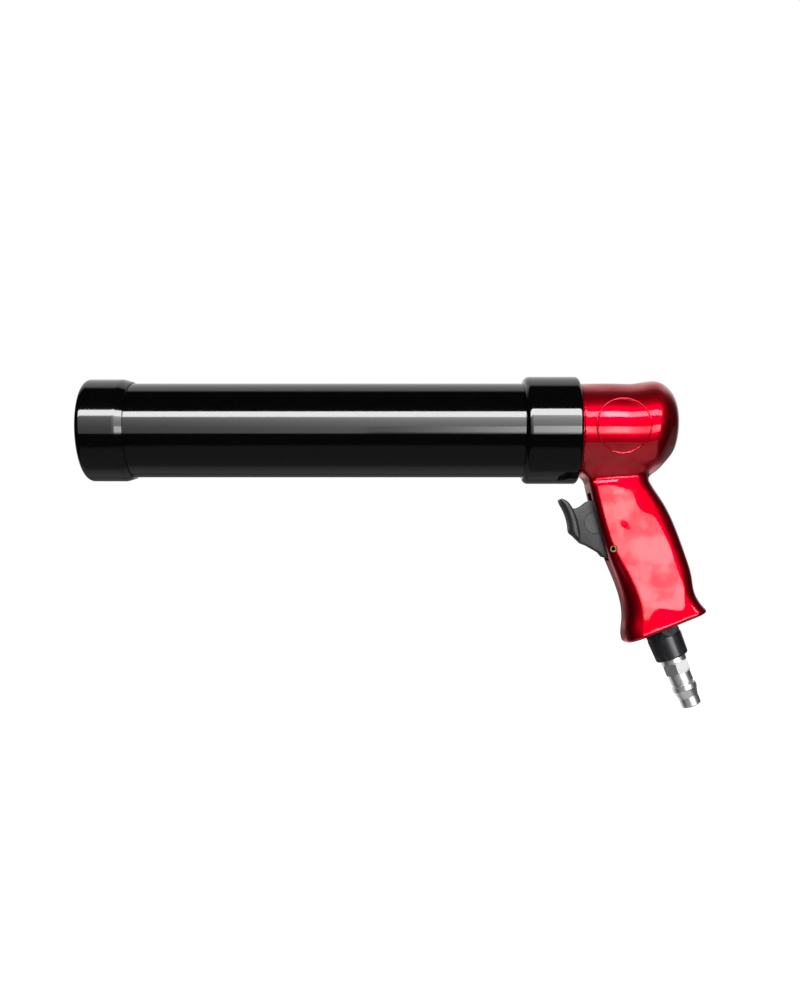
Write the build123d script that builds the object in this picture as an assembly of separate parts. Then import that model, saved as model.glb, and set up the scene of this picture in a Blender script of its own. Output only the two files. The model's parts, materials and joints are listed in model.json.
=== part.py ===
from build123d import *
import math
import os

# A pneumatic caulking gun, in millimetres. The origin is the centre of the nozzle opening
# on the front face, +X runs along the barrel to the handle, and the grip hangs down -Z.

# Barrel
TUBE_OUTER = 27.5            # radius of the barrel tube
TUBE_WALL = 1.5
TUBE_FRONT = 6.8             # where the tube starts behind the nozzle plate
TUBE_REAR = 273.0
FLANGE_RADIUS = 28.9         # rolled rear flange that the collar pulls on
FLANGE_THICK = 4.0
THREAD_PITCH = 3.0
THREAD_DEPTH = 0.6
RUNNING = 0.1                # radial clearance of turned and sliding fits
GAP = 0.3                    # space between faces that move apart

# Front cap and nozzle plate
CAP_RADIUS = 29.85
CAP_LENGTH = 28.2
CAP_WALL = 3.0
CAP_LIP_HOLE = 20.0
NOZZLE_RADIUS = 12.0
PLATE_THICK = 2.3

# Rear collar
COLLAR_RADIUS = 31.35
COLLAR_FRONT = 256.4
COLLAR_REAR = 288.7

# Head of the handle
SPIGOT_FRONT = 275.0
SPIGOT_RADIUS = 29.0
HEAD_FRONT = 289.0
HEAD_RADIUS = 27.4
HEAD_STRAIGHT = 322.0        # where the head starts to swell and then close
DOME_REAR = 348.0
CHAMBER_RADIUS = 21.5
BADGE_AT = 311.7             # blank round bead on each side of the head
BADGE_RADIUS = 15.3

# Grip: a frame leaning back, depth counted down the grip and forward-back across it
GRIP_LEAN = 22.0
GRIP_TOP = Vector(313.3, 0, 0)
GRIP_BASE = 117.6
INLET_AT = -20.3             # where the air inlet's axis crosses the grip

# Trigger and valve
PIVOT = Vector(308.1, 0, -69.9)
PIN_RADIUS = 1.75
WEB_HALF = 5.0
BLADE_HALF = 7.5
BLADE_ROUND = 1.6
SLOT_HALF = 5.8
BUTTON = Vector(299.0, 0, -54.5)
BUTTON_RADIUS = 6.6
VALVE_TILT = 14.8            # the valve's axis rises this much towards the back
VALVE_BORE = 5.4
SLOT_BACK = 11.5             # distances along the valve axis, from the trigger's button
SLEEVE_FRONT = 13.3
SLEEVE_REAR = 24.5
BORE_END = 37.0
STEM_RADIUS = 1.6
STEM_TIP = 7.15              # just clear of the trigger's back edge

# Air inlet under the grip
BUSH_TOP = 101.5             # depths down the grip
BUSH_STEP = 122.6
BUSH_END = 135.7
HEX_CORNER = 11.3            # corner radius of the bush's hex
HEX_TURN = 42.0              # how far both hexes are turned from the side view
PLUG_TOP = 123.5
PLUG_HEX = 7.1               # half the plug's width across flats

# Piston, at rest at the back of the barrel
PISTON_FRONT = 258.0
JUNCTION_FILLET = 4.0        # between head and grip
BASE_FILLET = 2.2            # round the foot of the grip

lean = math.radians(GRIP_LEAN)
down = Vector(math.sin(lean), 0, -math.cos(lean))
across = Vector(math.cos(lean), 0, math.sin(lean))
tilt = math.radians(VALVE_TILT)
into_grip = Vector(math.cos(tilt), 0, math.sin(tilt))


def grip_point(depth, back):
    return GRIP_TOP + down * depth + across * back


def turned(points, radii=None, frame=Plane.XY):
    """A solid turned about the frame's X axis, from (along, radius) corners."""
    section = FilletPolyline(*points, radius=radii, close=True) if radii else Polyline(*points, close=True)
    return frame * revolve(make_face(section), Axis.X)


def shaft(frame, start, end, radius):
    """A plain round bar along the frame's X axis."""
    return turned([(start, 0), (end, 0), (end, radius), (start, radius)], frame=frame)


def ring(frame, start, end, inner, outer):
    return turned([(start, inner), (end, inner), (end, outer), (start, outer)], frame=frame)


def thread_corners(start, end, crest, root):
    """Corners of a ring-grooved thread from start to end, at THREAD_PITCH."""
    corners = []
    for turn in range(int(abs(end - start) / THREAD_PITCH)):
        near = start + math.copysign(turn * THREAD_PITCH, end - start)
        step = math.copysign(THREAD_PITCH / 3, end - start)
        corners += [(near, crest), (near + 0.9 * step, root), (near + 1.3 * step, root), (near + 2.2 * step, crest)]
    return corners


def along(origin, direction):
    """A frame whose X axis points along direction and whose Y axis is level."""
    return Plane(origin, x_dir=direction, z_dir=direction.cross(Vector(0, 1, 0)))


barrel_axis = Plane.XY
valve_axis = along(BUTTON, into_grip)
inlet_axis = along(grip_point(0, INLET_AT), down)
piston_frame = Plane((PISTON_FRONT, 0, 0))


def front_cap():
    bore = TUBE_OUTER + RUNNING
    outside = [(0, CAP_LIP_HOLE), (0, 23.0), (1.8, CAP_RADIUS), (23.5, CAP_RADIUS), (CAP_LENGTH, 28.4),
               (CAP_LENGTH, bore)]
    inside = thread_corners(CAP_LENGTH - 2, 8, bore, bore + THREAD_DEPTH)
    rest = [(CAP_WALL, bore), (CAP_WALL, CAP_LIP_HOLE)]
    radii = [0.4, 2.0, 3.6, 6.0, 0.3, 0] + [0] * len(inside) + [0, 0.4]
    return turned(outside + inside + rest, radii)


def nozzle_plate():
    seat = CAP_WALL + 0.2
    plate = [(0, NOZZLE_RADIUS), (0, CAP_LIP_HOLE - RUNNING), (seat, CAP_LIP_HOLE - RUNNING),
             (seat, 27.0), (seat + PLATE_THICK, 27.0), (seat + PLATE_THICK, NOZZLE_RADIUS)]
    return turned(plate)


def nozzle_seal():
    front = CAP_WALL + 0.2 + PLATE_THICK
    return ring(barrel_axis, front, TUBE_FRONT - GAP, 24.0, 27.0)


def barrel_tube():
    bore = TUBE_OUTER - TUBE_WALL
    flange = TUBE_REAR - FLANGE_THICK
    outside = [(flange, TUBE_OUTER), (flange, FLANGE_RADIUS), (TUBE_REAR, FLANGE_RADIUS), (TUBE_REAR, bore)]
    grooves = thread_corners(TUBE_FRONT + 1.5, 27, TUBE_OUTER, TUBE_OUTER - THREAD_DEPTH)
    return turned([(TUBE_FRONT, bore), (TUBE_FRONT, TUBE_OUTER)] + grooves + outside)


def barrel_collar():
    lip = TUBE_REAR - FLANGE_THICK - 0.2
    neck = TUBE_OUTER + RUNNING
    bore = SPIGOT_RADIUS + RUNNING
    outside = [(COLLAR_FRONT, neck), (COLLAR_FRONT, COLLAR_RADIUS), (COLLAR_REAR, COLLAR_RADIUS), (COLLAR_REAR, bore)]
    grooves = thread_corners(COLLAR_REAR - 2, 276, bore, bore + THREAD_DEPTH)
    radii = [0, 3.7, 2.1, 0] + [0] * len(grooves) + [0, 0]
    return turned(outside + grooves + [(lip, bore), (lip, neck)], radii)


def barrel_seal():
    return ring(barrel_axis, TUBE_REAR + 0.2, SPIGOT_FRONT, 24.5, 28.7)


def head():
    """The casting's head: a plain front run, then round sections that swell and close."""
    straight = shaft(barrel_axis, 262, HEAD_STRAIGHT, HEAD_RADIUS)
    rear = [  # place along the barrel, top and bottom of the section
        (HEAD_STRAIGHT, 27.4, -27.4), (328, 28.4, -27.2), (333, 28.9, -25.6), (338, 27.5, -21.5),
        (342, 24.3, -17.0), (345, 19.6, -12.6), (347, 13.5, -6.5), (DOME_REAR, 8.0, -1.0),
    ]
    rounds = [Plane((place, 0, (top + bottom) / 2), x_dir=(0, 1, 0), z_dir=(1, 0, 0)) * Circle((top - bottom) / 2)
              for place, top, bottom in rear]
    return straight + loft(rounds)


def grip_station(front_depth, front, back_depth, back, half, front_radius, back_radius):
    """One cross-section of the grip, square to its side view."""
    toe, heel = grip_point(front_depth, front), grip_point(back_depth, back)
    frame = Plane(toe, x_dir=heel - toe, z_dir=(heel - toe).cross(Vector(0, 1, 0)) * -1)
    width = (heel - toe).length
    corners = [(0, -half), (width, -half), (width, half), (0, half)]
    radii = [front_radius, back_radius, back_radius, front_radius]
    return frame * make_face(FilletPolyline(*corners, radius=radii, close=True))


def grip():
    stations = [
        (8, -26.5, 20, 5.0, 17.0, 5, 8),
        (24, -29.3, 34, 5.0, 14.4, 4, 10),
        (44, -32.2, 50, 7.9, 14.0, 4, 10),
        (63, -34.4, 67, 8.8, 14.0, 5, 10),
        (80, -34.7, 82, 8.1, 14.0, 8, 10),
        (94, -36.0, 95, 6.7, 14.2, 10, 10),
        (105, -39.6, 105, 4.6, 14.6, 11, 9),
        (112, -42.8, 111.5, 5.3, 15.4, 11, 9),
        (GRIP_BASE, -43.6, GRIP_BASE, 7.4, 16.2, 11, 9),
    ]
    body = loft([grip_station(*station) for station in stations])
    base = body.faces().sort_by(Axis(GRIP_TOP, down))[-1]
    return fillet(base.edges(), BASE_FILLET)


def badge_bead():
    """A thin raised ring on each side of the head, with a blank field inside."""
    skin = ring(barrel_axis, 290, 330, HEAD_RADIUS - 0.5, HEAD_RADIUS + 0.35)
    hoop = Cylinder(BADGE_RADIUS + 0.4, 80) - Cylinder(BADGE_RADIUS - 0.4, 80)
    return skin & (Pos(BADGE_AT, 0, 0) * Rot(90, 0, 0) * hoop)


def side_plate(outline, half):
    """An outline drawn in the side view, (X, Z), made into a plate of 2 * half."""
    return extrude(Plane.XZ * outline, half, both=True)


def on_valve(distance, above=0):
    """A point in the side view, measured along and above the valve axis."""
    place = BUTTON + into_grip * distance + into_grip.cross(Vector(0, 1, 0)) * above
    return (place.X, place.Z)


def trigger_slot():
    corners = [(280, -36.8), on_valve(SLOT_BACK, 15), on_valve(SLOT_BACK, -6), (314.6, -66.0),
               (313.4, -73.4), (308.1, -76.4), (301.0, -78.5), (285.0, -80.0)]
    return side_plate(make_face(FilletPolyline(*corners, radius=1.5, close=True)), SLOT_HALF)


def air_ways():
    """The chamber behind the piston, the valve's bore and the drillings between them."""
    chamber = turned([(270, 0), (270, 24), (298, 24), (304, CHAMBER_RADIUS), (336, CHAMBER_RADIUS), (336, 0)],
                     [0, 0, 3, 3, 9, 0])
    valve_bore = shaft(valve_axis, SLOT_BACK - 4, BORE_END, VALVE_BORE)
    clip_groove = shaft(valve_axis, SLEEVE_FRONT - 1.1, SLEEVE_FRONT, VALVE_BORE + 0.4)
    outlet_foot = BUTTON + into_grip * 19.25
    outlet = shaft(along(outlet_foot, Vector(0, 0, 1)), 0, -18 - outlet_foot.Z, 2.0)
    feed_foot = grip_point(BUSH_TOP + 1, INLET_AT + 1.5)
    feed_top = BUTTON + into_grip * 30
    feed = shaft(along(feed_foot, feed_top - feed_foot), 0, (feed_top - feed_foot).length, 3.0)
    inlet = shaft(inlet_axis, BUSH_TOP - 1, GRIP_BASE + 5, 8.0)
    return [chamber, valve_bore, clip_groove, outlet, feed, inlet]


def pin_holes():
    hole = Cylinder(PIN_RADIUS, 60)
    rims = [Pos(0, 0, side * 14.0) * Rot(0, 90 - 90 * side, 0) * Cone(PIN_RADIUS, PIN_RADIUS + 0.7, 1.0)
            for side in (-1, 1)]
    return [Pos(PIVOT) * Rot(90, 0, 0) * shape for shape in [hole] + rims]


def handle_body():
    body = head() + grip()
    seam = [edge for edge in body.edges() if on_seam(edge.position_at(0.5))]
    body = fillet(seam, JUNCTION_FILLET)
    body -= shaft(barrel_axis, 250, HEAD_FRONT, 60)
    grooves = thread_corners(SPIGOT_FRONT + 1, 286, SPIGOT_RADIUS, SPIGOT_RADIUS - THREAD_DEPTH)
    relief = [(288, SPIGOT_RADIUS), (288, 27.0), (HEAD_FRONT + 1, 27.0), (HEAD_FRONT + 1, 24)]
    body += turned([(SPIGOT_FRONT, 24), (SPIGOT_FRONT, SPIGOT_RADIUS)] + grooves + relief)
    body += badge_bead()
    for hollow in air_ways() + pin_holes() + [trigger_slot()]:
        body -= hollow
    return body


def on_seam(place):
    """Whether a point lies where the grip's skin meets the head's."""
    return -31 < place.Z < -15 and math.hypot(place.Y, place.Z) > HEAD_RADIUS - 5


def trigger():
    front = Spline((277.3, -41.4), (281.2, -47.6), (283.5, -55.5), (284.2, -60.0), (287.6, -62.6))
    back = Spline((280.3, -39.8), (284.8, -43.9), (288.6, -51.8), (290.3, -60.0), (290.6, -65.4))
    tip = ThreePointArc(front @ 0, (278.2, -40.1), back @ 0)
    blade = side_plate(make_face([front, Line(front @ 1, back @ 1), back, tip]), BLADE_HALF)
    blade = fillet(blade.edges().filter_by(lambda edge: abs(edge.position_at(0.5).Y) > BLADE_HALF - 0.1), BLADE_ROUND)
    web = make_face(Polyline(
        (285.5, -46.0), (287.6, -46.1), (290.7, -44.8), (294.5, -41.9), (298.1, -40.9), on_valve(5.3, 9.8),
        on_valve(6.4, 2.0), (312.8, -67.1), (307.0, -75.3), (303.7, -74.4), (301.5, -71.8), (294.8, -67.9),
        (291.0, -66.4), (287.0, -62.5), close=True))
    body = blade + side_plate(web, WEB_HALF)
    body += Pos(PIVOT) * Rot(90, 0, 0) * Cylinder(5.5, 2 * WEB_HALF)
    body += Pos(BUTTON) * Rot(90, 0, 0) * Cylinder(BUTTON_RADIUS, 2 * WEB_HALF + 0.7)
    return body - Pos(PIVOT) * Rot(90, 0, 0) * Cylinder(PIN_RADIUS + 0.07, 30)


def trigger_pin():
    """A rolled spring pin with a slit along it."""
    pin = Cylinder(PIN_RADIUS, 26.2) - Cylinder(PIN_RADIUS - 0.5, 30) - Pos(0, PIN_RADIUS, 0) * Box(0.5, 2, 30)
    return Pos(PIVOT) * Rot(90, 0, 0) * pin


def valve_clip():
    split = valve_axis * Pos(SLEEVE_FRONT - 0.55, 0, -VALVE_BORE) * Box(2, 2.4, 4)
    return ring(valve_axis, SLEEVE_FRONT - 1.0, SLEEVE_FRONT - 0.1, 4.2, VALVE_BORE + 0.35) - split


def valve_sleeve():
    outer = VALVE_BORE - 0.05
    bore = STEM_RADIUS + 0.05
    outside = [(SLEEVE_FRONT, outer), (15.4, outer), (15.4, 4.3), (16.8, 4.3), (16.8, outer), (17.8, outer),
               (17.8, 4.7), (20.7, 4.7), (20.7, outer), (21.7, outer), (21.7, 4.3), (23.1, 4.3), (23.1, outer),
               (SLEEVE_REAR, outer), (SLEEVE_REAR, 3.2)]
    inside = [(17.0, 3.2), (17.0, 2.9), (15.1, 2.9), (15.1, bore), (SLEEVE_FRONT, bore)]
    sleeve = turned(outside + inside, frame=valve_axis)
    for quarter in (0, 90):
        sleeve -= valve_axis * Pos(19.25, 0, 0) * Rot(quarter, 0, 0) * Cylinder(0.9, 20)
    return sleeve


def sleeve_orings():
    seats = [16.1, 22.4]
    return Compound([valve_axis * Pos(seat, 0, 0) * Rot(0, 90, 0) * Torus(4.83, 0.52) for seat in seats])


def stem_seal():
    return ring(valve_axis, 15.2, 16.9, STEM_RADIUS + 0.05, 2.9)


def valve_stem():
    outline = make_face([
        Line((STEM_TIP, 0), (29.0, 0)),
        Polyline((29.0, 0), (29.0, 1.8), (27.5, 1.8), (27.5, 4.4), (25.9, 4.4), (25.9, STEM_RADIUS)),
        Line((25.9, STEM_RADIUS), (STEM_TIP + STEM_RADIUS, STEM_RADIUS)),
        RadiusArc((STEM_TIP + STEM_RADIUS, STEM_RADIUS), (STEM_TIP, 0), -STEM_RADIUS),
    ])
    return valve_axis * revolve(outline, Axis.X)


def poppet_seal():
    return ring(valve_axis, SLEEVE_REAR + 0.1, 25.9, STEM_RADIUS, 4.4)


def valve_spring():
    """The coil at its pressed length, in the closed end of the valve's bore."""
    wire = 0.35
    coil = Helix(pitch=1.3, height=4.6, radius=3.1)
    start = Plane(coil @ 0, z_dir=coil % 0)
    spring = sweep(start * Circle(wire), coil)
    frame = Plane(BUTTON + into_grip * (BORE_END - 4.6 - wire - 0.1), z_dir=into_grip)
    return frame * spring


def inlet_bushing():
    """Threaded bush with a hex collar under the grip and a plain barrel below it."""
    prism = Rot(0, 90, 0) * Rot(0, 0, HEX_TURN) * extrude(RegularPolygon(HEX_CORNER, 6), 8)
    cone = turned([(0, 0), (0, HEX_CORNER), (1.2, HEX_CORNER), (4.8, 9.9), (4.8, 0)])
    collar = inlet_axis * Pos(GRIP_BASE, 0, 0) * (prism & cone)
    barrel = turned([(GRIP_BASE, 0), (BUSH_END, 0), (BUSH_END, 9.1), (BUSH_END - 0.8, 9.7),
                     (BUSH_STEP, 10.2), (BUSH_STEP, 9.0), (GRIP_BASE, 9.0)], frame=inlet_axis)
    grooves = thread_corners(BUSH_TOP + 1, GRIP_BASE - 2, 7.95, 7.95 - THREAD_DEPTH)
    shank = turned([(BUSH_TOP, 0), (BUSH_TOP, 7.95)] + grooves + [(GRIP_BASE, 7.95), (GRIP_BASE, 0)],
                   frame=inlet_axis)
    bush = shank + barrel + collar
    bush -= shaft(inlet_axis, BUSH_TOP - 1, PLUG_TOP, 4.5)
    return bush - shaft(inlet_axis, PLUG_TOP, BUSH_END + 1, 6.45)


def inlet_filter():
    """A sintered thimble in the bush, open at its top."""
    tip = PLUG_TOP - 5
    return turned([(BUSH_TOP + 2, 3.4), (BUSH_TOP + 2, 4.45), (BUSH_TOP + 3, 4.45), (BUSH_TOP + 3, 3.9),
                   (tip, 3.2), (tip, 0), (tip - 1, 0), (tip - 1, 2.4)], frame=inlet_axis)


def inlet_seal():
    return ring(inlet_axis, BUSH_TOP - 0.9, BUSH_TOP, 4.6, 7.9)


def air_plug():
    """Quick-connect plug: thread, neck, hex, shank, groove, locking rib and tapered nose."""
    thread = thread_corners(PLUG_TOP + 1.2, BUSH_END - 1, 6.4, 6.4 - THREAD_DEPTH)
    profile = [(0, 7.45), (2.9, 7.45), (2.9, 6.6), (16.0, 6.6), (16.4, 6.0), (17.0, 6.0), (17.5, 7.15),
               (20.1, 7.15), (21.2, 6.7), (25.0, 5.8), (30.0, 5.8), (30.7, 5.1)]
    below = [(BUSH_END + step, radius) for step, radius in profile]
    end = BUSH_END + profile[-1][0]
    body = turned([(PLUG_TOP + 0.3, 0), (PLUG_TOP + 0.3, 6.4)] + thread + [(BUSH_END, 6.4)] + below
                  + [(end, 0)], frame=inlet_axis)
    prism = Rot(0, 90, 0) * Rot(0, 0, HEX_TURN) * extrude(RegularPolygon(PLUG_HEX / math.cos(math.pi / 6), 6), 7.0)
    cone = turned([(0, 0), (0, 7.3), (0.8, 8.3), (5.9, 8.3), (7.0, 7.2), (7.0, 0)])
    body += inlet_axis * Pos(BUSH_END + 2.9, 0, 0) * (prism & cone)
    return body - shaft(inlet_axis, PLUG_TOP - 1, end + 1, 3.4)


def piston_body():
    """A cup that runs in the barrel, with a groove for its lip seal."""
    return turned([(-4.0, 4.1), (-4.0, 20.0), (0, 25.7), (2.0, 25.7), (2.0, 22.0), (6.0, 22.0), (6.0, 25.7),
                   (9.5, 25.7), (9.5, 22.5), (4.0, 20.0), (2.5, 4.1)], frame=piston_frame)


def piston_seal():
    return turned([(2.1, 22.0), (5.9, 22.0), (5.9, 25.9), (4.6, 25.9), (3.9, 24.6), (3.3, 25.9), (2.1, 25.9)],
                  frame=piston_frame)


def piston_washer():
    return ring(piston_frame, 3.5, 4.9, 4.1, 12.0)


def piston_bolt():
    prism = Rot(0, 90, 0) * extrude(RegularPolygon(7.5, 6), 5.0)
    chamfer = turned([(0, 0), (0, 7.6), (4.2, 7.6), (5.0, 6.6), (5.0, 0)])
    return shaft(piston_frame, -8.5, 5.0, 4.0) + piston_frame * Pos(4.9, 0, 0) * (prism & chamfer)


def piston_nut():
    prism = Rot(0, 90, 0) * extrude(RegularPolygon(7.5, 6), 4.0)
    return piston_frame * Pos(-8.0, 0, 0) * prism - shaft(piston_frame, -9, 0, 4.0)


parts = {
    "front_cap": front_cap, "nozzle_plate": nozzle_plate, "nozzle_seal": nozzle_seal,
    "barrel_tube": barrel_tube, "barrel_collar": barrel_collar, "barrel_seal": barrel_seal,
    "handle_body": handle_body, "trigger": trigger, "trigger_pin": trigger_pin,
    "valve_clip": valve_clip, "valve_sleeve": valve_sleeve, "sleeve_orings": sleeve_orings,
    "stem_seal": stem_seal, "valve_stem": valve_stem, "poppet_seal": poppet_seal, "valve_spring": valve_spring,
    "inlet_bushing": inlet_bushing, "inlet_seal": inlet_seal, "inlet_filter": inlet_filter, "air_plug": air_plug,
    "piston_body": piston_body, "piston_seal": piston_seal, "piston_washer": piston_washer,
    "piston_bolt": piston_bolt, "piston_nut": piston_nut,
}

os.makedirs("parts", exist_ok=True)
for name, make in parts.items():
    shape = make()
    export_step(shape, f"parts/{name}.step")
    print(f"{name}: {shape.volume / 1000:.2f} cm3")
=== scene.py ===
# %% [markdown]
# # A pneumatic caulking gun, dressed for the camera
#
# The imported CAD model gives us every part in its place: a black barrel with a screw cap and a rear
# collar, a red cast handle with its trigger, and the steel air plug under the grip. Blender's work
# is to give each part its finish, and to rebuild the red casting as the soft, flowing shape that
# a foundry pattern has. We work in metres and in the CAD's own frame, so nothing is ever fitted.

# %% Load the frame
import json
import math

import bmesh
import bpy
import numpy as np
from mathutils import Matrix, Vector


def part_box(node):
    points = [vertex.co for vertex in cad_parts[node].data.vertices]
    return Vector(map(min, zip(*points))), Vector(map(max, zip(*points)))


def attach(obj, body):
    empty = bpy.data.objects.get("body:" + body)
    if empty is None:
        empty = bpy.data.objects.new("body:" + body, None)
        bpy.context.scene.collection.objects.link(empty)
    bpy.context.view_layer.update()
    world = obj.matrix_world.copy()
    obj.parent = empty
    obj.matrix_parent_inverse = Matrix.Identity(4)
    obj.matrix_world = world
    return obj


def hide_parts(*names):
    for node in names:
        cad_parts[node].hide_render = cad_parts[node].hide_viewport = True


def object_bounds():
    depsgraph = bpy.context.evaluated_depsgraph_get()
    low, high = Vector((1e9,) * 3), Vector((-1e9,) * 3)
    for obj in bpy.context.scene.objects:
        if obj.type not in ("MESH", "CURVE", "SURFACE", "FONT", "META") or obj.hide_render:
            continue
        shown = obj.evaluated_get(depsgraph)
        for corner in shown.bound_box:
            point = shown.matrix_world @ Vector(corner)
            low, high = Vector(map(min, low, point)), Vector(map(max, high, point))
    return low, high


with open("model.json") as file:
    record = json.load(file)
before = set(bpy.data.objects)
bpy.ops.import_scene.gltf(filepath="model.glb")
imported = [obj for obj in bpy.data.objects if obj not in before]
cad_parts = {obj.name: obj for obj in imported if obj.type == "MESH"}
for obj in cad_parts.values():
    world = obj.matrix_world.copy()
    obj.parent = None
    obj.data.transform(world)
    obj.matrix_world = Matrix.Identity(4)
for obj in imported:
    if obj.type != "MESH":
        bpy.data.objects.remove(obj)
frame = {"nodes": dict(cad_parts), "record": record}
cad_low, cad_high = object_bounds()
MM = 0.001
print("CAD box in mm:", [round(size / MM, 1) for size in cad_high - cad_low])

# %% [markdown]
# ## The camera
#
# A product shot like this is taken level, from a little over half a metre, square to the side of
# the gun. Keeping the camera level and sliding the lens (its shift) keeps upright edges upright.
# We could tilt the camera instead, but then upright edges would lean together.

# %% Camera
lens = bpy.data.cameras.new("product_lens")
lens.lens = 37.8
lens.sensor_width = 36.0
lens.shift_x = -0.015
lens.shift_y = 0.06
camera = bpy.data.objects.new("product_camera", lens)
camera.location = (0.1935, -0.6195, -0.0763)
camera.rotation_euler = (math.pi / 2, 0, 0)
bpy.context.scene.collection.objects.link(camera)
bpy.context.scene.camera = camera
print("camera distance in mm:", round(-camera.location.y / MM))

# %% [markdown]
# ## Signals: shader maths that reads like Python
#
# A finish is a small graph of nodes. Wiring each node by hand hides the idea, so one class wraps a
# socket. Arithmetic on signals adds Math nodes, and one method makes every other kind of node: it
# takes the node's type, its settings, and then a value or a signal for each input.


# %% Signal
class Signal:
    """A socket of a finish. Arithmetic on signals adds Math nodes to its tree."""

    def __init__(self, tree, socket=None):
        self.tree = tree
        self.socket = socket

    def node(self, kind, settings=None, inputs=None, out=0):
        made = self.tree.nodes.new(kind)
        for name, value in (settings or {}).items():
            if name == "stops":
                self.stops(made.color_ramp, value)
            else:
                setattr(made, name, value)
        for name, value in (inputs or {}).items():
            if isinstance(value, Signal):
                self.tree.links.new(value.socket, made.inputs[name])
            else:
                made.inputs[name].default_value = value
        return Signal(self.tree, made.outputs[out]) if len(made.outputs) else made

    @staticmethod
    def stops(ramp, stops):
        while len(ramp.elements) < len(stops):
            ramp.elements.new(1.0)
        for element, (place, level) in zip(ramp.elements, stops):
            element.position = place
            element.color = (level, level, level, 1.0)

    def maths(self, operation, first, second):
        return self.node("ShaderNodeMath", {"operation": operation}, {0: first, 1: second})

    def ramp(self, low, high, bottom=0.0, top=1.0):
        """Stretch the signal smoothly so that low becomes bottom and high becomes top."""
        return self.node("ShaderNodeMapRange", {"interpolation_type": "SMOOTHSTEP"}, {
            "Value": self, "From Min": low, "From Max": high, "To Min": bottom, "To Max": top})

    def along(self, axis):
        """The X, Y or Z part of a vector signal."""
        return self.node("ShaderNodeSeparateXYZ", inputs={0: self}, out=axis)

    def __add__(self, other):
        return self.maths("ADD", self, other)

    def __sub__(self, other):
        return self.maths("SUBTRACT", self, other)

    def __rsub__(self, other):
        return self.maths("SUBTRACT", other, self)

    def __mul__(self, other):
        return self.maths("MULTIPLY", self, other)

    __radd__ = __add__
    __rmul__ = __mul__


def blend_colours(mask, low, high):
    """Colour low where the mask is 0 and high where it is 1."""
    return mask.node("ShaderNodeMix", {"data_type": "RGBA"},
                     {"Factor": mask, "A": (*low, 1.0), "B": (*high, 1.0)}, out="Result")


print("signals ready")

# %% [markdown]
# ## The studio
#
# Gloss black has no colour of its own: what we see on the barrel is the studio. A white sweep
# behind the gun draws the pale line along its edges. In front hangs a bright strip, high up, and two
# wide soft lamps, below and behind, fill the underside of the red casting. Two glowing cards come
# later. Everything else is black flag, and that is what makes the enamel look deep. Strips are area
# lamps, because Cycles samples them cleanly. A strip's radiance is its power over pi and its area.

# %% Lamps
AIM = Vector((0.19, 0.0, -0.03))
LAMP_DISTANCE = 1.5
STRIP_LENGTH = 2.6


def place_facing(thing, elevation, distance, side=-1.0):
    """Hang a lamp at an elevation in degrees, in front (-1) or behind (+1), turned to the gun."""
    rise = math.radians(elevation)
    arm = Vector((0.0, side * math.cos(rise) * distance, math.sin(rise) * distance))
    thing.location = AIM + arm
    thing.rotation_euler = (-arm).to_track_quat("-Z", "Y").to_euler()
    bpy.context.scene.collection.objects.link(thing)


def strip_lamp(name, elevation, span, radiance, side=-1.0):
    """An area lamp that spans some degrees of height and shines with a given radiance."""
    lamp = bpy.data.lights.new(name, "AREA")
    lamp.shape = "RECTANGLE"
    lamp.size = STRIP_LENGTH
    lamp.size_y = 2 * LAMP_DISTANCE * math.tan(math.radians(span / 2))
    lamp.energy = radiance * math.pi * lamp.size * lamp.size_y
    thing = bpy.data.objects.new(name, lamp)
    place_facing(thing, elevation, LAMP_DISTANCE, side)
    thing.visible_camera = False
    return thing


high_strip = strip_lamp("high_strip", 34.0, 13.0, 19.5)
floor_fill = strip_lamp("floor_fill", -62.0, 56.0, 0.55)
back_fill = strip_lamp("back_fill", -38.0, 40.0, 1.0, side=1.0)
for lamp in (high_strip, floor_fill, back_fill):
    print(lamp.name, "watts", round(lamp.data.energy, 1))

# %% [markdown]
# The world plays two parts. The camera sees pure white through it, as in a cut-out product shot.
# Reflections and fill see a dark room: a white sweep behind the gun, a dim floor, and little else.
# The direction of a ray comes from the world's own coordinates.

# %% World
world = bpy.data.worlds.new("studio")
bpy.context.scene.world = world
world.use_nodes = True
world.node_tree.nodes.clear()
sky = Signal(world.node_tree)
direction = sky.node("ShaderNodeTexCoord", out="Generated")
behind = direction.along("Y").ramp(0.16, 0.34)
above = direction.along("Z").ramp(-0.04, 0.04)
floor_glow = direction.along("Z").ramp(-0.62, -0.74)
width = direction.along("X")
central = 1 - width.node("ShaderNodeMath", {"operation": "ABSOLUTE"}, {0: width}).ramp(0.5, 0.8)
sweep = behind * above * central
FLOOR_GLOW = 0.15
AMBIENT = 0.015
room = sweep + floor_glow * FLOOR_GLOW + behind * (1 - above) * FLOOR_GLOW + AMBIENT
seen = sky.node("ShaderNodeLightPath", out="Is Camera Ray")
dark_room = room.node("ShaderNodeBackground", inputs={"Color": (1, 1, 1, 1), "Strength": room})
white = room.node("ShaderNodeBackground", inputs={"Color": (1, 1, 1, 1), "Strength": 1.0})
both = room.node("ShaderNodeMixShader", inputs={0: seen, 1: dark_room, 2: white})
room.node("ShaderNodeOutputWorld", inputs={"Surface": both})
bpy.context.scene.view_settings.view_transform = "Standard"
print("world nodes:", len(world.node_tree.nodes))

# %% [markdown]
# ## Finishes
#
# Every finish starts from the same three things: a Principled shader, the object's own coordinates
# in metres, and a little unevenness. Real paint is never perfectly flat. Under a hard light its
# orange peel wrinkles a reflection, handling leaves a faint haze, and edges wear first.


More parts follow.
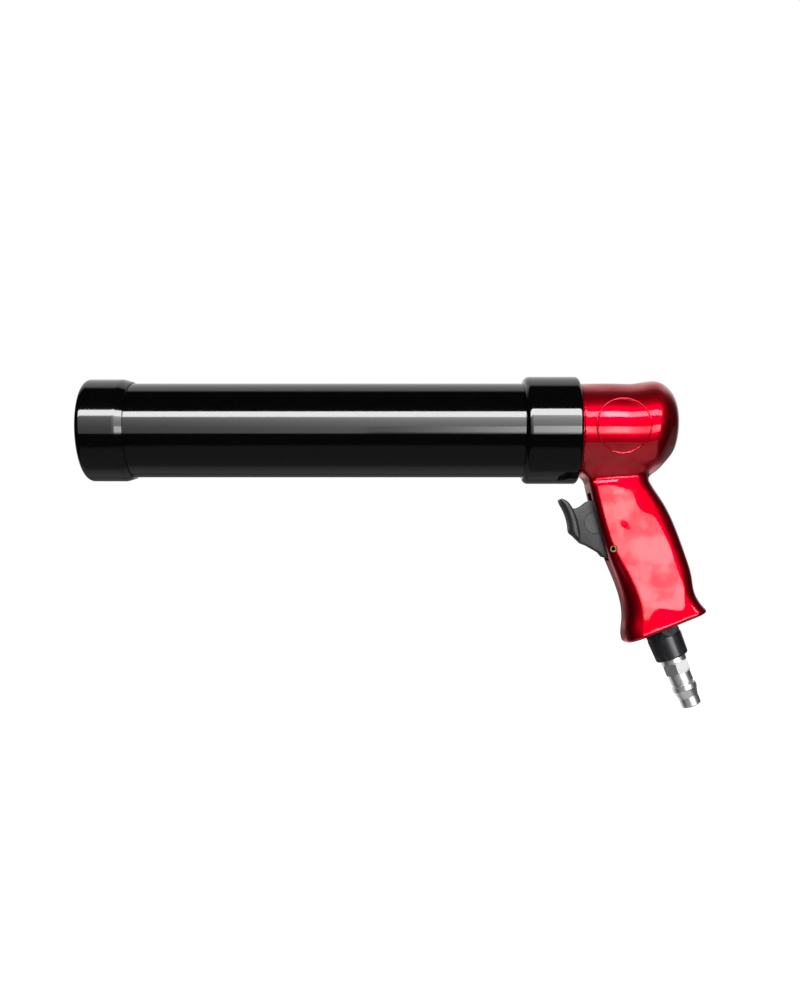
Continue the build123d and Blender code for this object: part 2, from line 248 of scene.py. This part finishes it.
# %% Finish helpers
class Finish:
    """A material under construction: its tree, its coordinates, and its grain."""

    def __init__(self, name):
        self.material = bpy.data.materials.new(name)
        self.material.use_nodes = True
        self.tree = self.material.node_tree
        self.tree.nodes.clear()
        self.start = Signal(self.tree)
        self.place = self.start.node("ShaderNodeTexCoord", out="Object")

    def grain(self, size_mm, detail=2.0, roughness=0.5):
        """Soft noise whose features are about size_mm across, from 0 to 1."""
        return self.start.node("ShaderNodeTexNoise", inputs={
            "Vector": self.place, "Scale": 1 / (size_mm * MM), "Detail": detail, "Roughness": roughness})

    def bump(self, height, depth_mm):
        return height.node("ShaderNodeBump", inputs={"Height": height, "Distance": depth_mm * MM, "Strength": 1.0})

    def done(self, **inputs):
        named = {name.replace("_", " "): value for name, value in inputs.items()}
        shader = self.start.node("ShaderNodeBsdfPrincipled", inputs=named)
        self.start.node("ShaderNodeOutputMaterial", inputs={"Surface": shader})
        return self.material


print("finish helpers ready")

# %% [markdown]
# ### Gloss black enamel
#
# The tube, cap and collar are steel under thick black stoving enamel. It is nearly black, nearly a
# mirror, and carries a faint haze of dust and fine polishing scratches that soften the strips.


# %% Gloss black
def gloss_black(name, gloss, haze):
    finish = Finish(name)
    dust = finish.grain(0.9, 5.0, 0.7).ramp(0.45, 0.8)
    cloud = finish.grain(14.0, 3.0)
    peel = finish.grain(1.6, 1.0)
    colour = blend_colours(dust, (0.0003, 0.0003, 0.0004), (0.0012, 0.0012, 0.0014))
    return finish.done(Base_Color=colour, Roughness=gloss + haze * (dust * 0.6 + cloud * 0.4), IOR=1.5,
                       Normal=finish.bump(peel, 0.0012))


tube_enamel = gloss_black("tube_enamel", 0.05, 0.05)
cap_enamel = gloss_black("cap_enamel", 0.06, 0.06)
collar_enamel = gloss_black("collar_enamel", 0.045, 0.05)

# %% [markdown]
# ### Candy red
#
# The casting is sprayed with a silver ground, a transparent red, and a clear lacquer. The red comes
# alive where the silver under it catches a lamp, and goes to maroon where it doesn't. We use a
# metallic red base with a wide sheen, and a clear coat with a tight one on top. The coat comes and
# goes in soft clouds, as hand-sprayed lacquer does, and that makes the flank's highlights milky.


# %% Candy red
def candy_red():
    finish = Finish("candy_red")
    flakes = finish.grain(0.35, 2.0, 0.7)
    cloud = finish.grain(18.0, 3.0)
    colour = blend_colours((cloud + flakes * 0.3).ramp(0.45, 0.8), (0.36, 0.0, 0.006), (0.43, 0.0, 0.010))
    lacquer = finish.grain(16.0, 3.0, 0.55).ramp(0.4, 0.62, 0.45, 1.0)
    return finish.done(Base_Color=colour, Metallic=1.0, Roughness=0.33 + flakes * 0.08, Coat_Weight=lacquer,
                       Coat_Roughness=0.035, Coat_IOR=1.36, Normal=finish.bump(flakes, 0.004))


casting_paint = candy_red()

# %% [markdown]
# ### Plastic, rubber and plated metal
#
# The small parts share two recipes. A moulded or rubber skin is a dull dielectric with a fine
# grain, rubbed smoother in places. A machined metal is fully metallic, with a fine tool texture,
# spots of tarnish and a haze of wear.


# %% Moulded and machined
def moulded(name, colour, worn, roughness, grain_mm=0.25, depth_mm=0.006):
    finish = Finish(name)
    skin = finish.grain(grain_mm, 3.0, 0.6)
    rubbed = finish.grain(6.0, 4.0, 0.6).ramp(0.5, 0.72)
    return finish.done(Base_Color=blend_colours(rubbed, colour, worn), Roughness=roughness - rubbed * 0.07,
                       Normal=finish.bump(skin, depth_mm))


def machined(name, colour, tarnish, roughness, pitch_mm=0.4):
    finish = Finish(name)
    spots = finish.grain(2.2, 5.0, 0.65).ramp(0.5, 0.75)
    haze = finish.grain(5.0, 3.0)
    tooling = finish.grain(pitch_mm, 2.0, 0.8)
    return finish.done(Base_Color=blend_colours(spots, colour, tarnish), Metallic=1.0,
                       Roughness=roughness + haze * 0.12 + spots * 0.06, Normal=finish.bump(tooling, 0.0004))


finishes = {
    "cap_black": cap_enamel,
    "plate_black": gloss_black("plate_enamel", 0.2, 0.12),
    "tube_black": tube_enamel,
    "collar_black": collar_enamel,
    "casting_red": casting_paint,
    "trigger_black": moulded("trigger_nylon", (0.006, 0.006, 0.007), (0.012, 0.012, 0.013), 0.44),
    "pin_steel": machined("pin_brassy_zinc", (0.16, 0.10, 0.04), (0.07, 0.04, 0.02), 0.35),
    "valve_brass": machined("valve_brass", (0.78, 0.55, 0.22), (0.5, 0.33, 0.12), 0.22),
    "valve_steel": machined("valve_steel", (0.62, 0.62, 0.63), (0.45, 0.44, 0.43), 0.2),
    "seal_rubber": moulded("seal_rubber", (0.010, 0.010, 0.010), (0.02, 0.02, 0.02), 0.62),
    "bush_black": moulded("bush_black_oxide", (0.004, 0.004, 0.005), (0.010, 0.010, 0.011), 0.3, 0.5, 0.003),
    "filter_bronze": machined("filter_bronze", (0.55, 0.36, 0.18), (0.4, 0.25, 0.12), 0.5, 0.2),
    "plug_steel": machined("plug_plated_steel", (0.62, 0.62, 0.63), (0.5, 0.5, 0.5), 0.33),
    "piston_plastic": moulded("piston_plastic", (0.62, 0.62, 0.58), (0.5, 0.5, 0.47), 0.45),
}
slot_of = {part["node"]: part["material_slot"] for part in frame["record"]["subparts"]}
for node, piece in frame["nodes"].items():
    for slot in piece.material_slots:
        slot.material = finishes[slot_of[node]]
print("finishes on", len(frame["nodes"]), "CAD parts")

# %% [markdown]
# ## The red casting
#
# A foundry pattern flows: the head swells at the back, and melts into the grip's flanks through a
# broad hollow that ends in a low shoulder. Lofted CAD faces meet in creases that gloss paint would
# show, so we describe the casting by a formula instead, as a sculptor's clay. It gives the distance
# of any point from the skin. Two solids melt into each other with a fillet of any size, and a mesh
# that is pulled onto the formula reflects the lamps in clean lines. Sculpting by hand would work
# too, but would not follow the CAD's numbers. Everything here is in millimetres until the mesh.


# %% Curves and melted shapes
def smooth_curve(points):
    """A natural cubic spline through (place, value) points."""
    at, value = np.array(points, float).T
    gap = np.diff(at)
    system = np.eye(len(at))
    pull = np.zeros(len(at))
    for i in range(1, len(at) - 1):
        system[i, i - 1:i + 2] = gap[i - 1], 2 * (gap[i - 1] + gap[i]), gap[i]
        pull[i] = 6 * ((value[i + 1] - value[i]) / gap[i] - (value[i] - value[i - 1]) / gap[i - 1])
    bend = np.linalg.solve(system, pull)

    def curve(place):
        place = np.clip(place, at[0], at[-1])
        i = np.clip(np.searchsorted(at, place) - 1, 0, len(gap) - 1)
        left, right = (at[i + 1] - place) / gap[i], (place - at[i]) / gap[i]
        arch = (left ** 3 - left) * bend[i] + (right ** 3 - right) * bend[i + 1]
        return left * value[i] + right * value[i + 1] + arch * gap[i] ** 2 / 6

    return curve


def melt(a, b, reach):
    """Union of two distances, its inside corner filled over about that reach."""
    inner = np.hypot(np.maximum(reach - a, 0), np.maximum(reach - b, 0))
    return np.maximum(reach, np.minimum(a, b)) - inner


def trim(a, b, radius):
    """What is inside both, its outside corner rounded to that radius."""
    outer = np.hypot(np.maximum(radius + a, 0), np.maximum(radius + b, 0))
    return np.minimum(-radius, np.maximum(a, b)) + outer


def ease(t):
    t = np.clip(t, 0, 1)
    return t * t * (3 - 2 * t)


print("a fillet of 2 mm leaves", round(float(melt(np.array(0.3), np.array(0.3), 2.0)), 2), "mm at 0.3, 0.3")

# %% [markdown]
# The head is a round bar whose rear swells slightly upwards and then closes. Its radius squared runs
# straight to zero at the back, which is what a round end does. The grip leans back 22 degrees. Down
# its length we give the front and back edge, the half width, and how round each edge is. A cast
# flank is never flat: it is crowned by a few tenths and carries a slight wave. Above a low shoulder
# the neck is narrower, and the shoulder line rises a little towards the front.

# %% The casting's formula
LEAN = math.radians(22.0)
GRIP_TOP = np.array((313.3, 0.0, 0.0))
GRIP_FOOT = 117.6
HEAD_FACE = 289.0
HEAD_RADIUS = 27.4
FACE_EDGE = 0.4
FOOT_EDGE = 2.2
GRIP_START = 3.0
START_EDGE = 0.5
SHOULDER = np.array((302.0, 0.0, -32.6))
SHOULDER_SLOPE = 0.104
SHOULDER_BLEND = 4.0
NECK_CUT = 0.9
WAVE_HEIGHT = 0.13
CROWN_ACROSS = 0.28
CROWN_DOWN = 0.25
CROWN_DEPTH = 78
CROWN_REACH = 45
CROWN_MOST = 0.6
ROOT_FILLET = 4.2
FLANK_FILLET = 2.2
DOWN = np.array((math.sin(LEAN), 0.0, -math.cos(LEAN)))
BACK = np.array((math.cos(LEAN), 0.0, math.sin(LEAN)))

head_square = smooth_curve([(300, 750.8), (311, 750.8), (322, 752), (328, 772.8), (333, 742.6), (338, 600.3),
                            (342, 426.4), (345, 259.2), (347, 100), (348, 20.3), (349, -60), (351, -220)])
head_rise = smooth_curve([(300, 0), (311, 0), (322, 0), (328, 0.6), (333, 1.65), (338, 3.0), (342, 3.65),
                          (345, 3.55), (348, 3.5), (351, 3.5)])
grip_front = smooth_curve([(0, -25), (8, -26.5), (24, -29.3), (44, -32.2), (63, -34.4), (80, -34.7), (94, -36),
                           (105, -39.6), (112, -42.8), (117.6, -43.6)])
grip_back = smooth_curve([(0, 5), (20, 5), (34, 5), (50, 7.9), (67, 8.8), (82, 8.1), (95, 6.7), (105, 4.6),
                          (111.5, 5.3), (117.6, 7.4)])
grip_half = smooth_curve([(0, 14.2), (24, 14.2), (44, 14), (63, 14), (80, 14), (94, 14.2), (105, 14.6),
                          (112, 15.4), (117.6, 16.2)])
front_round = smooth_curve([(0, 4), (44, 4), (63, 5), (80, 8), (94, 10), (105, 11), (117.6, 11)])
back_round = smooth_curve([(0, 10), (82, 10), (105, 9), (117.6, 9)])


def head_distance(x, y, z):
    square = head_square(x)
    slope = (head_square(x + 0.01) - square) / 0.01
    across = np.hypot(y, z - head_rise(x))
    round_part = (across ** 2 - square) / np.hypot(across + np.sqrt(np.maximum(square, 0)), slope)
    return trim(round_part, HEAD_FACE - x, FACE_EDGE)


def grip_distance(x, y, z):
    depth = (x - GRIP_TOP[0]) * DOWN[0] + z * DOWN[2]
    back = (x - GRIP_TOP[0]) * BACK[0] + z * BACK[2]
    front, rear = grip_front(depth), grip_back(depth)
    neck = ease((z - SHOULDER[2] - SHOULDER_SLOPE * (x - SHOULDER[0])) / SHOULDER_BLEND)
    wave = np.sin(x / 6 + 1.3 + 0.8 * np.sin(z / 13)) * np.sin(z / 8 + 0.4) + 0.5 * np.sin((x + z) / 4.3)
    middle = (front + rear) / 2
    crown = CROWN_ACROSS * ((back - middle) / (rear - front) * 2) ** 2
    crown += CROWN_DOWN * ((depth - CROWN_DEPTH) / CROWN_REACH) ** 2
    half = grip_half(depth) - NECK_CUT * neck + WAVE_HEIGHT * wave - np.clip(crown, 0, CROWN_MOST)
    bend = np.where(back < middle, front_round(depth), back_round(depth))
    over = np.abs(back - middle) - (rear - front) / 2 + bend
    side = np.abs(y) - half + bend
    section = np.hypot(np.maximum(over, 0), np.maximum(side, 0)) + np.minimum(np.maximum(over, side), 0) - bend
    return trim(trim(section, depth - GRIP_FOOT, FOOT_EDGE), GRIP_START - depth, START_EDGE)


def casting_distance(points):
    x, y, z = points.T
    flank = ease((np.abs(y) - 6.0) / 8.0)
    return melt(head_distance(x, y, z), grip_distance(x, y, z), ROOT_FILLET + FLANK_FILLET * flank)


print("skin at the head's side:", round(float(casting_distance(np.array([[305.0, -HEAD_RADIUS, 0.0]]))[0]), 3), "mm")

# %% [markdown]
# ### From formula to mesh
#
# We start from a rough carving, a turned head and a boxy grip joined by a voxel remesh, which gives
# even squares all over. Then each point slides along the formula's slope until it lies on the skin,
# with a little smoothing between rounds so that the squares stay even.


# %% Mesh tools
def new_piece(name, mesh, *finish):
    piece = bpy.data.objects.new(name, mesh)
    bpy.context.scene.collection.objects.link(piece)
    for paint in finish:
        mesh.materials.append(paint)
    return piece


def mesh_of(name, points, faces):
    """A mesh in metres from points in millimetres, welded and with its faces turned outwards."""
    mesh = bpy.data.meshes.new(name)
    mesh.from_pydata([tuple(point) for point in np.asarray(points) * MM], [], faces)
    work = bmesh.new()
    work.from_mesh(mesh)
    bmesh.ops.remove_doubles(work, verts=work.verts, dist=1e-7)
    bmesh.ops.dissolve_degenerate(work, edges=work.edges, dist=1e-8)
    bmesh.ops.recalc_face_normals(work, faces=work.faces)
    work.to_mesh(mesh)
    work.free()
    return mesh


def tube_faces(rings, steps, closed=False):
    """Quads between neighbouring rings of steps points, and round to the first ring if closed."""
    last = rings if closed else rings - 1
    return [(r * steps + s, r * steps + (s + 1) % steps, (r + 1) % rings * steps + (s + 1) % steps,
             (r + 1) % rings * steps + s) for r in range(last) for s in range(steps)]


def turned(name, profile, origin=(0, 0, 0), axis=(1, 0, 0), steps=96):
    """A solid turned about an axis from a closed outline of (along, radius) corners, in mm."""
    axis = Vector(axis).normalized()
    side = axis.cross(Vector((0, 1, 0))).normalized()
    up = axis.cross(side)
    points = []
    for along, radius in profile:
        for step in range(steps):
            angle = 2 * math.pi * step / steps
            points.append(Vector(origin) + axis * along + (side * math.cos(angle) + up * math.sin(angle)) * radius)
    return mesh_of(name, points, tube_faces(len(profile), steps, closed=True))


def plate(name, outline, half):
    """An outline in the side view, (X, Z), made into a plate that is half thick each way."""
    count = len(outline)
    points = [(x, y, z) for y in (-half, half) for x, z in outline]
    return mesh_of(name, points, tube_faces(2, count) + [tuple(range(count)), tuple(range(count, 2 * count))])


def joined(name, meshes):
    """One mesh that holds all the given ones."""
    work = bmesh.new()
    for mesh in meshes:
        work.from_mesh(mesh)
    whole = bpy.data.meshes.new(name)
    work.to_mesh(whole)
    work.free()
    return whole


def settled(piece):
    """Apply a piece's modifiers."""
    mesh = bpy.data.meshes.new_from_object(piece.evaluated_get(bpy.context.evaluated_depsgraph_get()))
    piece.modifiers.clear()
    piece.data = mesh
    return piece


def shaded(piece, crease=32.0):
    """Smooth shading that breaks where faces meet at more than the crease, in degrees."""
    piece.data.polygons.foreach_set("use_smooth", [True] * len(piece.data.polygons))
    piece.data.set_sharp_from_angle(angle=math.radians(crease))
    return piece


print("a turned ring has", len(turned("ring_trial", [(0, 4), (1, 4), (1, 5), (0, 5)]).polygons), "faces")

# %% Carve, remesh, settle
VOXEL = 0.8
turned_head = turned("rough_head", [(HEAD_FACE, 0), (HEAD_FACE, 27), (335, 27), (344, 18), (348, 0)])
depths = np.linspace(GRIP_START, GRIP_FOOT, 25)
CHAMFER = 5
rough = []
for depth in depths:
    front, rear, half = (float(edge(depth)) for edge in (grip_front, grip_back, grip_half))
    near_side = [(front, -0.6), (front + CHAMFER, -1), (rear - CHAMFER, -1), (rear, -0.6)]
    far_side = [(back, -side) for back, side in reversed(near_side)]
    for back, side in near_side + far_side:
        rough.append(GRIP_TOP + DOWN * depth + BACK * back + np.array((0, side * half, 0)))
caps = [tuple(range(8)), tuple(range(len(rough) - 8, len(rough)))]
rough_grip = mesh_of("rough_grip", rough, tube_faces(len(depths), 8) + caps)
casting = new_piece("handle_casting", joined("rough_casting", [turned_head, rough_grip]), casting_paint)
remesh = casting.modifiers.new("even_squares", "REMESH")
remesh.voxel_size = VOXEL * MM
settled(casting)

points = np.empty(len(casting.data.vertices) * 3)
casting.data.vertices.foreach_get("co", points)
points = points.reshape(-1, 3) / MM
edges = np.empty(len(casting.data.edges) * 2, int)
casting.data.edges.foreach_get("vertices", edges)
near, far = edges.reshape(-1, 2).T
links = np.bincount(near, minlength=len(points)) + np.bincount(far, minlength=len(points))


def onto_skin(points, rounds):
    """Slide points along the formula's slope until they lie on the skin."""
    for _ in range(rounds):
        distance = casting_distance(points)
        slope = np.stack([casting_distance(points + step) - casting_distance(points - step)
                          for step in np.eye(3) * 0.02], axis=1) / 0.04
        points = points - slope * (distance / np.maximum((slope ** 2).sum(1), 0.05)).clip(-1.5, 1.5)[:, None]
    return points


points = onto_skin(points, 8)
for _ in range(6):
    middle = np.zeros_like(points)
    np.add.at(middle, near, points[far])
    np.add.at(middle, far, points[near])
    points = onto_skin(points * 0.5 + middle / links[:, None] * 0.5, 2)
points = onto_skin(points, 3)
casting.data.vertices.foreach_set("co", (points * MM).ravel())
casting.data.update()
print("casting skin:", len(points), "points, worst miss in mm:",
      round(float(np.abs(casting_distance(points)).max()), 4))

# %% [markdown]
# ### Drilling and milling the casting
#
# The machinist's cuts are crisp, so they come after the skin, as exact Booleans: the trigger's slot,
# the valve's bore, the pin's hole with its small countersink, the air chamber and the inlet. The
# sideways axis leans by a hair, because a turned shape is laid out from an axis other than Y.

# %% Cut the casting
pin_low, pin_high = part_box("trigger_pin")
PIVOT = (pin_low + pin_high) / 2 / MM
SIDEWAYS = (0, 1, 0.0001)
BUTTON = Vector((299.0, 0.0, -54.5))
VALVE_LINE = Vector((math.cos(math.radians(14.8)), 0, math.sin(math.radians(14.8))))
INLET = Vector(GRIP_TOP - 20.3 * BACK)
slot_outline = [(280, -36.8), (306.3, -37.0), (311.65, -57.35), (314.6, -66.0), (313.4, -73.4), (308.1, -76.4),
                (301.0, -78.5), (285.0, -80.0)]
SLOT_HALF = 5.8
PIN_HOLE = 1.75
COUNTERSINK = PIN_HOLE + 0.7
cuts = [
    plate("slot_cut", slot_outline, SLOT_HALF),
    turned("valve_cut", [(7.5, 0), (7.5, 5.4), (37, 5.4), (37, 0)], BUTTON, VALVE_LINE, 48),
    turned("pin_cut", [(-20, 0), (-20, COUNTERSINK), (-14, COUNTERSINK), (-13.2, PIN_HOLE), (13.2, PIN_HOLE),
                       (14, COUNTERSINK), (20, COUNTERSINK), (20, 0)], PIVOT, SIDEWAYS, 48),
    turned("chamber_cut", [(270, 0), (270, 24), (298, 24), (304, 21.5), (336, 21.5), (336, 0)]),
    turned("inlet_cut", [(100.5, 0), (100.5, 8), (125, 8), (125, 0)], INLET, DOWN, 64),
]
for mesh in cuts:
    cutter = new_piece(mesh.name, mesh)
    cut = casting.modifiers.new(mesh.name, "BOOLEAN")
    cut.operation = "DIFFERENCE"
    cut.solver = "EXACT"
    cut.object = cutter
settled(casting)
for mesh in cuts:
    bpy.data.objects.remove(bpy.data.objects[mesh.name])
shaded(casting)
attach(casting, "handle")
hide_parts("handle_body")
print("casting after machining:", len(casting.data.polygons), "faces")

# %% [markdown]
# The spigot in front of the head is screwed into the collar, and shows when the collar is wound off.
# It is turned, so its mesh is a profile spun round the barrel's axis, thread grooves and all.

# %% Spigot
SPIGOT_RADIUS = 29.0
PITCH = 3.0
thread = [(276 + turn * PITCH + step, SPIGOT_RADIUS - depth) for turn in range(3)
          for step, depth in ((0, 0), (0.9, 0.6), (1.3, 0.6), (2.2, 0))]
spigot_profile = [(275, 24), (275, SPIGOT_RADIUS), *thread, (288, SPIGOT_RADIUS), (288, 27), (289.4, 27), (289.4, 24)]
spigot = new_piece("handle_spigot", turned("handle_spigot", spigot_profile, steps=160), casting_paint)
shaded(spigot)
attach(spigot, "handle")
print("spigot from", spigot_profile[0][0], "to", spigot_profile[-1][0], "mm")

# %% [markdown]
# Each side of the head carries a thin raised ring round a blank field. A round bead laid along the
# cylinder does it: we walk round the circle and place a small ring of points at each step, half
# sunk in the skin.

# %% Badge rings
BADGE_AT = 311.7
BADGE_RADIUS = 15.3
BEAD = 0.65


def badge_ring(name, side):
    steps, round_steps = 180, 10
    points = []
    for step in range(steps):
        turn = 2 * math.pi * step / steps
        spoke = Vector((math.cos(turn), 0, math.sin(turn)))
        z = BADGE_RADIUS * spoke.z
        centre = Vector((BADGE_AT + BADGE_RADIUS * spoke.x, side * math.sqrt(HEAD_RADIUS ** 2 - z ** 2), z))
        out = Vector((0, centre.y, z)).normalized()
        for part in range(round_steps):
            angle = 2 * math.pi * part / round_steps
            points.append(centre + (spoke * math.cos(angle) + out * math.sin(angle)) * BEAD)
    ring = new_piece(name, mesh_of(name, points, tube_faces(steps, round_steps, closed=True)), casting_paint)
    shaded(ring, 80)
    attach(ring, "handle")
    return ring


rings = [badge_ring("badge_ring_left", -1), badge_ring("badge_ring_right", 1)]
print("badge rings:", [ring.name for ring in rings])

# %% [markdown]
# ## The trigger
#
# The trigger is one nylon moulding: a curved finger blade, well rounded, on a thinner web with a
# round boss. The blade is a row of soft-cornered ovals between its front and back lines. The web is
# a plate whose edges are bevelled just enough to catch the light. The boss is turned. The shade in
# the shallow groove round it is painted: a thin ring of dull dark rubber finish stands in for it.


# %% Trigger
def curve_points(points, count):
    """Points evenly spread by number along a smooth curve through the given ones."""
    steps = np.linspace(0, len(points) - 1, count)
    return list(zip(*(smooth_curve(list(enumerate(row)))(steps) for row in zip(*points))))


def bevelled_plate(name, outline, half, width):
    """A plate with small rounded edges."""
    piece = new_piece(name, plate(name, outline, half))
    bevel = piece.modifiers.new("rounding", "BEVEL")
    bevel.width = width * MM
    bevel.segments = 3
    bevel.limit_method = "ANGLE"
    bevel.angle_limit = math.radians(50)
    mesh = settled(piece).data
    bpy.data.objects.remove(piece)
    return mesh


blade_front = curve_points([(277.3, -41.4), (281.2, -47.6), (283.5, -55.5), (284.2, -60.0), (287.6, -62.6)], 22)
blade_back = curve_points([(280.3, -39.8), (284.8, -43.9), (288.6, -51.8), (290.3, -60.0), (290.6, -65.4)], 22)
web_outline = [(285.5, -46.0), (287.6, -46.1), (290.7, -44.8), (294.5, -41.9), (298.1, -40.9), (301.6, -43.7),
               (304.7, -51.2), (312.8, -67.1), (307.0, -75.3), (303.7, -74.4), (301.5, -71.8), (294.8, -67.9),
               (291.0, -66.4), (287.0, -62.5)]
RING = 40
BLADE_HALF = 7.5
WEB_HALF = 5.0
WEB_EDGE = 0.5
BOSS_STEPS = 72
END_SWELL = (0.35, 0.75, 0.93, 1.0)


def finger_blade(name, front, back, half):
    """Sections between the blade's front and back lines, each a soft-cornered oval."""
    points = []
    for index, (face, heel) in enumerate(zip(front, back)):
        end = min(index, len(front) - 1 - index)
        swell = END_SWELL[min(end, 3)]
        for step in range(RING):
            turn = 2 * math.pi * step / RING
            along, sideways = math.cos(turn), math.sin(turn)
            reach = 0.5 + 0.5 * swell * math.copysign(abs(along) ** 0.75, along)
            side = half * (0.8 + 0.2 * swell) * math.copysign(abs(sideways) ** 0.55, sideways)
            points.append((face[0] + (heel[0] - face[0]) * reach, side, face[1] + (heel[1] - face[1]) * reach))
    last = RING * (len(front) - 1)
    caps = [tuple(range(RING)), tuple(range(last, last + RING))]
    return mesh_of(name, points, tube_faces(len(front), RING) + caps)


boss_profile = [(-5.3, 0), (-5.3, 6.1), (-5.1, 6.35), (5.1, 6.35), (5.3, 6.1), (5.3, 0)]
moulding = joined("trigger_moulding", [
    finger_blade("trigger_blade", blade_front, blade_back, BLADE_HALF),
    bevelled_plate("trigger_web", web_outline, WEB_HALF, WEB_EDGE),
    turned("trigger_boss", boss_profile, BUTTON, SIDEWAYS, BOSS_STEPS)])
trigger = shaded(new_piece("trigger_moulding", moulding, finishes["trigger_black"]), 33)
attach(trigger, "trigger")
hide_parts("trigger")

# Painted shade: a thin dull dark ring, set round the boss, stands in for the shadow in its groove.
groove_shade_profile = [(-5.16, 6.3), (-5.16, 6.75), (-4.9, 6.75), (-4.9, 6.3)]
groove_shade_ring = joined("boss_groove_painted_shade", [
    turned("groove_shade_side", [(side * along, radius) for along, radius in groove_shade_profile], BUTTON, SIDEWAYS, BOSS_STEPS)
    for side in (-1, 1)])
boss_groove_painted_shade = shaded(new_piece("boss_groove_painted_shade", groove_shade_ring, finishes["seal_rubber"]))
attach(boss_groove_painted_shade, "trigger")
print("trigger moulding:", len(moulding.polygons), "faces")

# %% [markdown]
# ## The glowing cards
#
# Two cards finish the front lighting. The low card stands just under the lens's height and grows
# brighter towards the handle, so that the red flank carries a milky panel. The grey sheet fills the
# gap between strip and card in the black parts only: a photographer would swing it in for the
# barrel and away for the handle, and light linking does the same in one exposure. The two wide soft
# lamps are linked the other way, to the red casting and the bright air plug.


# %% Glowing cards
CARD_RADIANCE = 12.0


def glowing_card(name, low, high, left, right, brightness, distance):
    """A card between two elevations and two X. brightness maps its coordinates to 0..1."""
    middle, half = (low + high) / 2, distance * math.tan(math.radians((high - low) / 2))
    corners = [(x - AIM.x, y, 0) for x, y in ((left, -half), (right, -half), (right, half), (left, half))]
    mesh = bpy.data.meshes.new(name)
    mesh.from_pydata(corners, [], [(0, 1, 2, 3)])
    card = bpy.data.objects.new(name, mesh)
    place_facing(card, middle, distance)
    card.visible_camera = False
    glow = Finish(name)
    level = brightness(glow.place.along("X") + AIM.x, glow.place.along("Y") * (0.5 / half) + 0.5)
    grey = blend_colours(level, (0, 0, 0), (1, 1, 1))
    mesh.materials.append(glow.done(Base_Color=(0, 0, 0, 1), Roughness=1.0, Specular_IOR_Level=0.0,
                                    Emission_Color=grey, Emission_Strength=CARD_RADIANCE))
    return card


def sheet_brightness(across, rise):
    fall = rise.node("ShaderNodeValToRGB", {
        "stops": [(0.0, 0.20), (0.35, 0.25), (0.66, 0.36), (0.88, 0.5), (1.0, 0.9)]}, {0: rise})
    return fall * across.ramp(-0.8, 1.2, 0.32, 1.35)


def low_card_brightness(across, rise):
    return across.ramp(0.1, 0.7, 0.15, 1.0) * rise.ramp(0.0, 0.35, 0.25, 1.0)


def linked(name, pieces):
    """A collection of the pieces that a lamp is allowed to light."""
    collection = bpy.data.collections.new(name)
    bpy.context.scene.collection.children.link(collection)
    for piece in pieces:
        collection.objects.link(piece)
    return collection


low_card = glowing_card("low_card", -13.0, 4.0, 0.1, 1.5, low_card_brightness, LAMP_DISTANCE - 0.02)
grey_sheet = glowing_card("grey_sheet", -12.5, 28.0, -1.2, 1.5, sheet_brightness, LAMP_DISTANCE)
black_nodes = ("barrel_tube", "front_cap", "barrel_collar", "nozzle_plate", "inlet_bushing")
black_parts = linked("black_parts", [frame["nodes"][node] for node in black_nodes])
bright_parts = linked("bright_parts", [casting, spigot, *rings, frame["nodes"]["air_plug"]])
grey_sheet.light_linking.receiver_collection = black_parts
for lamp in (floor_fill, back_fill):
    lamp.light_linking.receiver_collection = bright_parts
print("cards:", low_card.name, grey_sheet.name)

# %% [markdown]
# ## The floor
#
# A plain pale floor, well under the gun, so that its shadow falls soft and pale. It must not show in
# the enamel, where the room is meant to be dark.

# %% Floor
FLOOR_DROP = 0.16
FLOOR_HALF = 6.0
floor_mesh = bpy.data.meshes.new("studio_floor")
floor_level = cad_low.z - FLOOR_DROP
floor_mesh.from_pydata([(x, y, floor_level) for x, y in
                        ((-FLOOR_HALF, -FLOOR_HALF), (FLOOR_HALF, -FLOOR_HALF), (FLOOR_HALF, FLOOR_HALF),
                         (-FLOOR_HALF, FLOOR_HALF))], [], [(0, 1, 2, 3)])
floor = bpy.data.objects.new("studio_floor", floor_mesh)
bpy.context.scene.collection.objects.link(floor)
sweep_paint = Finish("studio_floor_paint")
mottle = sweep_paint.grain(40.0)
floor_mesh.materials.append(sweep_paint.done(
    Base_Color=blend_colours(mottle, (0.86, 0.86, 0.86), (0.9, 0.9, 0.9)), Roughness=0.9,
    Emission_Color=(1, 1, 1, 1), Emission_Strength=0.75))
floor.visible_glossy = False
print("floor level in mm:", round(floor_level / MM, 1))
